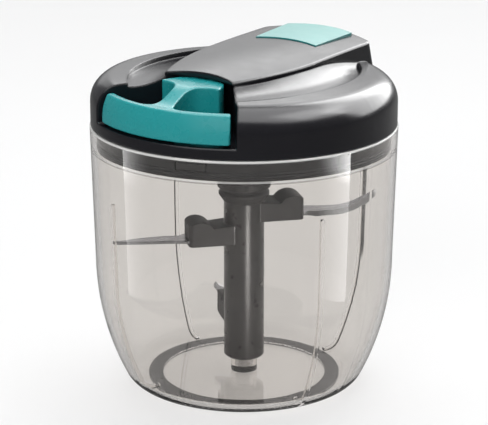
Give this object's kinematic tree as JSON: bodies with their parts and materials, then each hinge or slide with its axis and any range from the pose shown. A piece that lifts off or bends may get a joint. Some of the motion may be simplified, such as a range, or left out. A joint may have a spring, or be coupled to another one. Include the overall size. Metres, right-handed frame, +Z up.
{
  "type": "pull-string food chopper",
  "caption": "Hand-held food chopper: clear tapered bowl, dark wind-up lid with a pull handle on a cord that spins an upright column of curved blades.",
  "frame": {"origin": "middle of the resting face under the bowl", "axes": "+Z up along the bowl's and the blade column's axis; -Y is the side the handle is pulled to; +X to the right of someone facing the handle"},
  "size_m": [0.125, 0.125, 0.1402],
  "materials": {
    "clear_bowl": null,
    "lid_plastic": "charcoal, satin moulded",
    "housing_plastic": "charcoal, fine moulded",
    "column_plastic": "dark grey moulded",
    "teal_plastic": "teal, smooth semi-gloss",
    "mint_plastic": "pale mint, smooth semi-gloss",
    "white_plastic": "natural white moulded",
    "soft_ring": "dark soft rubber, matte",
    "blade_steel": "ground stainless steel",
    "spring_steel": "blued strip steel",
    "steel_parts": "turned steel",
    "cord": "braided white cord"
  },
  "bodies": {
    "bowl": {"bowl": "clear_bowl", "base_ring": "soft_ring", "pivot_pin": "steel_parts"},
    "lid": {"lid_cover": "lid_plastic", "lid_base": "housing_plastic", "seal_ring": "soft_ring", "top_inlay": "mint_plastic", "cord_guide": "white_plastic", "cover_screws": "steel_parts", "shaft_bush": "white_plastic", "shaft_seal": "soft_ring", "thrust_washer": "steel_parts", "return_spring": "spring_steel", "pull_cord": "cord"},
    "reel": {"cord_reel": "white_plastic", "reel_flange": "white_plastic", "cord_winding": "cord", "drive_shaft": "column_plastic", "shaft_circlip": "spring_steel"},
    "blades": {"blade_hub": "column_plastic", "upper_blade": "blade_steel", "middle_blade": "blade_steel", "lower_blade": "blade_steel"},
    "handle": {"pull_handle": "teal_plastic", "cord_knot": "cord"}
  },
  "joints": [
    {"name": "lid_lift", "type": "slide", "parent": "bowl", "child": "lid", "axis": [0, 0, 1], "range_m": [0, 0.06]},
    {"name": "handle_pull", "type": "slide", "parent": "lid", "child": "handle", "axis": [0, -1, 0], "range_m": [0, 0.44], "stiffness_N_per_m": 10, "springref_m": -0.3, "deforming": ["pull_cord"]},
    {"name": "reel_spin", "type": "hinge", "parent": "lid", "child": "reel", "pos_m": [0, 0, 0.11], "axis": [0, 0, -1], "range_deg": [0, 1965]},
    {"name": "blade_spin", "type": "hinge", "parent": "bowl", "child": "blades", "pos_m": [0, 0, 0], "axis": [0, 0, -1], "range_deg": [0, 1965]}
  ],
  "couplings": [
    {"joint": "reel_spin", "follows": "handle_pull", "rad_per_m": 77.821},
    {"joint": "blade_spin", "follows": "handle_pull", "rad_per_m": 77.821}
  ]
}
